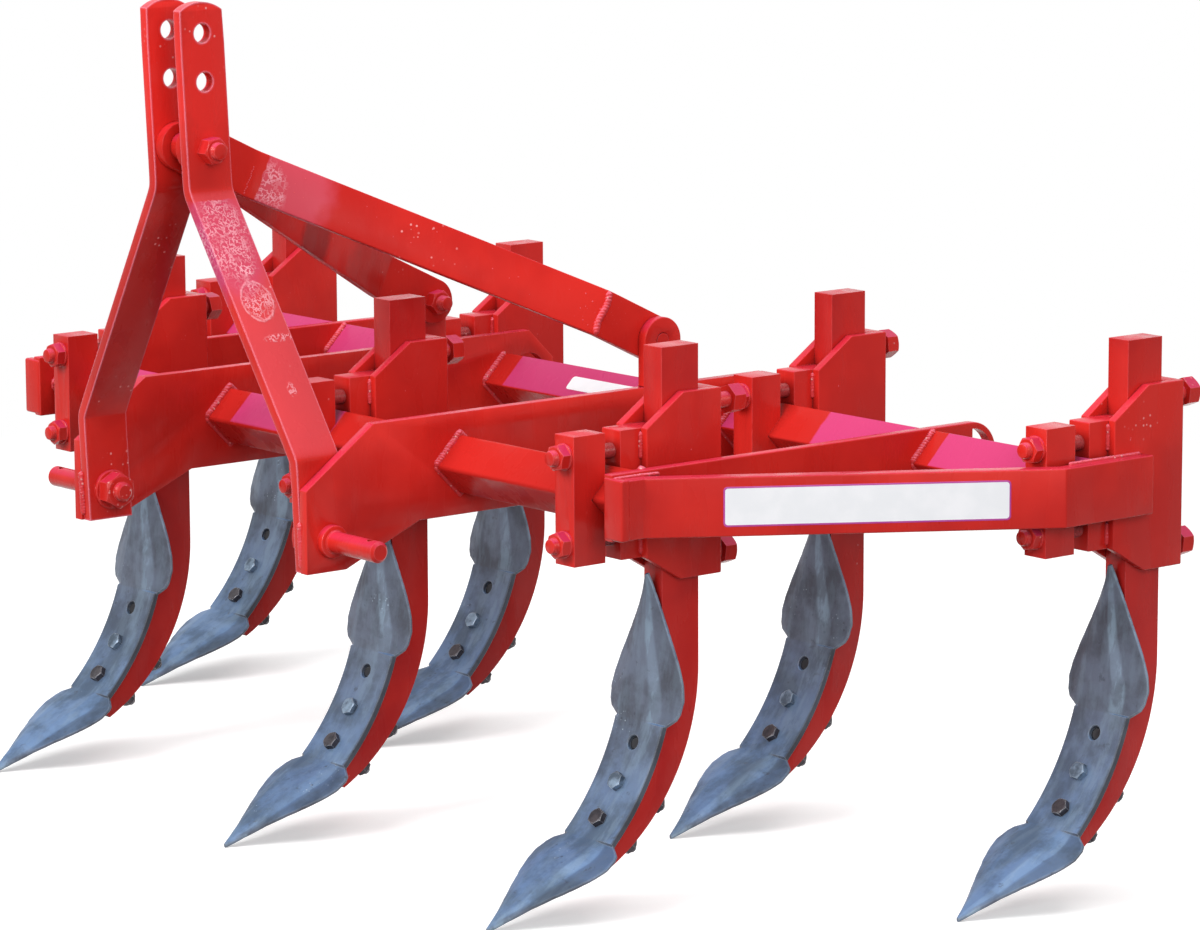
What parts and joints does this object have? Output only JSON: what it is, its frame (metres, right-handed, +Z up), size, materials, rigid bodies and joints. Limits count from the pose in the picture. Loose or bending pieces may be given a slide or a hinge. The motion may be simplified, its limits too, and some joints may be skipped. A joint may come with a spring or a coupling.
{
  "type": "rigid tine cultivator",
  "caption": "Tractor-mounted rigid tine cultivator: two rows of curved shanks with reversible pointed shovels clamped to square toolbars, with a top-link mast, braces and lower hitch pins.",
  "frame": {"origin": "centre of the bounding box in X and Y, at the ground plane under the lowest shovel points", "axes": "+X the way the tractor pulls the machine, +Y to the machine's left, +Z up"},
  "size_m": [0.7684, 1.555, 0.8993],
  "materials": {
    "frame_paint": "glossy red enamel",
    "tube_paint": "glossy red enamel",
    "clamp_paint": "glossy red enamel over plate",
    "shank_paint": "glossy red enamel over forged bar",
    "fastener_paint": "red enamel over bolts",
    "pin_paint": "red enamel over turned steel",
    "shovel_steel": "bare blue-grey forged steel, unpolished",
    "shovel_bolt_steel": "dull plated steel"
  },
  "bodies": {
    "root": {"brace_bolts": "fastener_paint", "brace_left": "frame_paint", "brace_lug_left": "frame_paint", "brace_lug_right": "frame_paint", "brace_right": "frame_paint", "clamp_block_f1": "clamp_paint", "clamp_block_f2": "clamp_paint", "clamp_block_f3": "clamp_paint", "clamp_block_r1": "clamp_paint", "clamp_block_r2": "clamp_paint", "clamp_block_r3": "clamp_paint", "clamp_block_r4": "clamp_paint", "clamp_bolts_f1": "fastener_paint", "clamp_bolts_f2": "fastener_paint", "clamp_bolts_f3": "fastener_paint", "clamp_bolts_r1": "fastener_paint", "clamp_bolts_r2": "fastener_paint", "clamp_bolts_r3": "fastener_paint", "clamp_bolts_r4": "fastener_paint", "clamp_bracket_f1": "clamp_paint", "clamp_bracket_f2": "clamp_paint", "clamp_bracket_f3": "clamp_paint", "clamp_bracket_r1": "clamp_paint", "clamp_bracket_r2": "clamp_paint", "clamp_bracket_r3": "clamp_paint", "clamp_bracket_r4": "clamp_paint", "front_toolbar": "tube_paint", "hitch_plate_left": "frame_paint", "hitch_plate_right": "frame_paint", "lower_pin_left": "pin_paint", "lower_pin_right": "pin_paint", "mast_spacer_bush": "frame_paint", "mast_strap_left": "frame_paint", "mast_strap_right": "frame_paint", "rear_toolbar": "tube_paint", "shank_f1": "shank_paint", "shank_f2": "shank_paint", "shank_f3": "shank_paint", "shank_r1": "shank_paint", "shank_r2": "shank_paint", "shank_r3": "shank_paint", "shank_r4": "shank_paint", "shovel_bolts_f1": "shovel_bolt_steel", "shovel_bolts_f2": "shovel_bolt_steel", "shovel_bolts_f3": "shovel_bolt_steel", "shovel_bolts_r1": "shovel_bolt_steel", "shovel_bolts_r2": "shovel_bolt_steel", "shovel_bolts_r3": "shovel_bolt_steel", "shovel_bolts_r4": "shovel_bolt_steel", "shovel_f1": "shovel_steel", "shovel_f2": "shovel_steel", "shovel_f3": "shovel_steel", "shovel_r1": "shovel_steel", "shovel_r2": "shovel_steel", "shovel_r3": "shovel_steel", "shovel_r4": "shovel_steel", "side_bar_left": "frame_paint", "side_bar_right": "frame_paint", "side_plate_left": "frame_paint", "side_plate_right": "frame_paint"}
  },
  "joints": []
}
